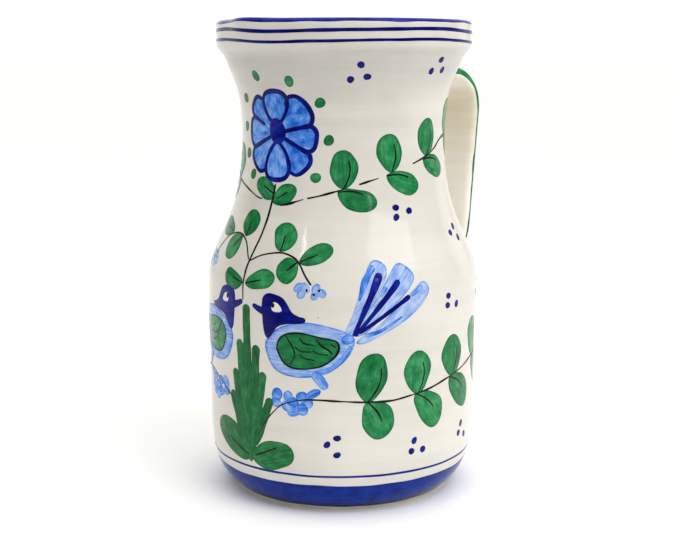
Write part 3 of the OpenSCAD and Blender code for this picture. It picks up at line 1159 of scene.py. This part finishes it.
make_body()
make_foot_ring()
make_strap()
make_joint("upper_joint_fillet", "upper_handle_joint", UPPER_CONTACT, 1)
make_joint("lower_joint_fillet", "lower_handle_joint", LOWER_CONTACT, -1)
make_rings()
make_flower()
make_branches()
make_upper_vines()
make_lower_vines()
make_bird("right_bird", (-18, 90), -1)
make_bird("left_bird", (-65, 91), 1)
make_plant()
make_dots()
make_handle_lines()

# ---- camera and lights

CAMERA_AWAY = 715.7
CAMERA_Z = 238.65
CAMERA_DOWN = 0.1645  # radians
CAMERA_LEFT = 0.7  # the axis stands this far to the right of the picture's middle
LENS = 67.95
AIM = Vector((0, 0, 0.13))  # the middle of the pot, in metres


def make_camera():
    data = bpy.data.cameras.new("camera")
    data.lens = LENS
    data.sensor_width = 36
    data.clip_start, data.clip_end = 0.05, 50
    camera = bpy.data.objects.new("camera", data)
    camera.location = Vector((FRONT * CAMERA_AWAY - RIGHT * CAMERA_LEFT + UP * CAMERA_Z) * MM)
    camera.rotation_euler = (math.pi / 2 - CAMERA_DOWN, 0, VIEW_AZIMUTH)
    bpy.context.scene.collection.objects.link(camera)
    bpy.context.scene.camera = camera


def make_softbox(name, angle, elevation, away, width, height, power):
    """An area light angle degrees to the right of the viewer, aimed at the middle of the pot. Metres."""
    rise = math.radians(elevation)
    direction = Vector(spoke(angle) * math.cos(rise) + UP * math.sin(rise))
    data = bpy.data.lights.new(name, "AREA")
    data.shape = "RECTANGLE"
    data.size, data.size_y = width, height
    data.energy = power
    light = bpy.data.objects.new(name, data)
    light.location = direction * away + AIM
    light.rotation_mode = "QUATERNION"
    light.rotation_quaternion = direction.to_track_quat("Z", "Y")
    bpy.context.scene.collection.objects.link(light)


ZONE_BLUR = 6.0  # degrees over which one zone of the studio fades into the next
ALL_ROUND = (-400, 400)
# Parts of the studio: azimuth to the right of the viewer, elevation, and the light that each adds.
# One takes light away: a dim stripe that shows in the glaze on the inner side of the strap.
ZONES = [
    (ALL_ROUND, (50, 95), (1.52, 1.515, 1.50)),
    ((120, 400), (-90, 50), (1.12, 1.115, 1.105)),
    ((-400, -124), (-90, 50), (1.12, 1.115, 1.105)),
    ((-124, -115), (-30, 50), (0.85, 0.64, 0.35)),
    ((140, 153), (-20, 45), (-0.35, -0.40, -0.50)),
    ((-115, -40), (-90, 50), (0.23, 0.23, 0.23)),
    ((40, 120), (-90, 20), (0.18, 0.18, 0.18)),
    ((-40, 40), (-90, 50), (0.56, 0.56, 0.555)),
    ((40, 120), (20, 50), (0.72, 0.71, 0.68)),
]


def zone_mask(tree, azimuth, elevation, across, up):
    """1 for directions inside the (low, high) ranges of azimuth and elevation in degrees, 0 outside."""
    mask = 1.0
    for value, (low, high) in ((azimuth, across), (elevation, up)):
        for limit, half in ((low, ZONE_BLUR / 2), (high, -ZONE_BLUR / 2)):
            inside = share_node(tree, value, limit - half, limit + half)
            mask = math_node(tree, "MULTIPLY", inside, mask)
    return mask


def make_world():
    """A white studio that is bright overhead and behind the pot, and dimmer on the viewer's side."""
    world = bpy.data.worlds.new("studio")
    bpy.context.scene.world = world
    world.use_nodes = True
    tree = world.node_tree
    tree.nodes.clear()
    place = add_node(tree, "ShaderNodeTexCoord").outputs["Generated"]
    along = []
    for axis in (RIGHT, FRONT, UP):
        dot = add_node(tree, "ShaderNodeVectorMath", {0: place, 1: tuple(axis)}, operation="DOT_PRODUCT")
        along.append(dot.outputs["Value"])
    azimuth = math_node(tree, "MULTIPLY", math_node(tree, "ARCTAN2", along[0], along[1]), math.degrees(1))
    elevation = math_node(tree, "MULTIPLY", math_node(tree, "ARCSINE", along[2], 0.0), math.degrees(1))
    total = (0, 0, 0)
    for across, up, radiance in ZONES:
        mask = zone_mask(tree, azimuth, elevation, across, up)
        inputs = {0: mask, 1: radiance, 2: total}
        total = add_node(tree, "ShaderNodeVectorMath", inputs, operation="MULTIPLY_ADD").outputs[0]
    background = add_node(tree, "ShaderNodeBackground", {"Color": total})
    output = add_node(tree, "ShaderNodeOutputWorld")
    tree.links.new(background.outputs[0], output.inputs[0])


def make_floor():
    """A sheet of white paper that runs far back and to both sides, and ends in front of the pot."""
    mesh = bpy.data.meshes.new("floor")
    front, far = 0.32, 60.0
    ahead, side = FRONT * front, RIGHT * far
    corners = [ahead - side, ahead + side, side - FRONT * far, -side - FRONT * far]
    mesh.from_pydata([tuple(corner) for corner in corners], [], [(0, 1, 2, 3)])
    floor = bpy.data.objects.new("floor", mesh)
    bpy.context.scene.collection.objects.link(floor)
    material, tree, shader = new_material("floor_paper")
    place = add_node(tree, "ShaderNodeTexCoord").outputs["Object"]
    grain = noise_node(tree, place, 3, 2)
    colour = ramp_node(tree, grain, [(0.3, (0.965, 0.965, 0.965)), (0.7, (0.985, 0.985, 0.985))])
    tree.links.new(colour, shader.inputs["Base Color"])
    shader.inputs["Roughness"].default_value = 0.7
    mesh.materials.append(material)


make_camera()
make_world()
make_floor()
make_softbox("key_right", 50, 45, 1.3, 0.9, 0.9, 7.5)
make_softbox("window_left", -40, 38, 1.2, 0.05, 0.25, 0.5)
make_softbox("lamp_right", 28, 19, 1.2, 0.06, 0.06, 0.35)
bpy.context.scene.view_settings.view_transform = "Standard"
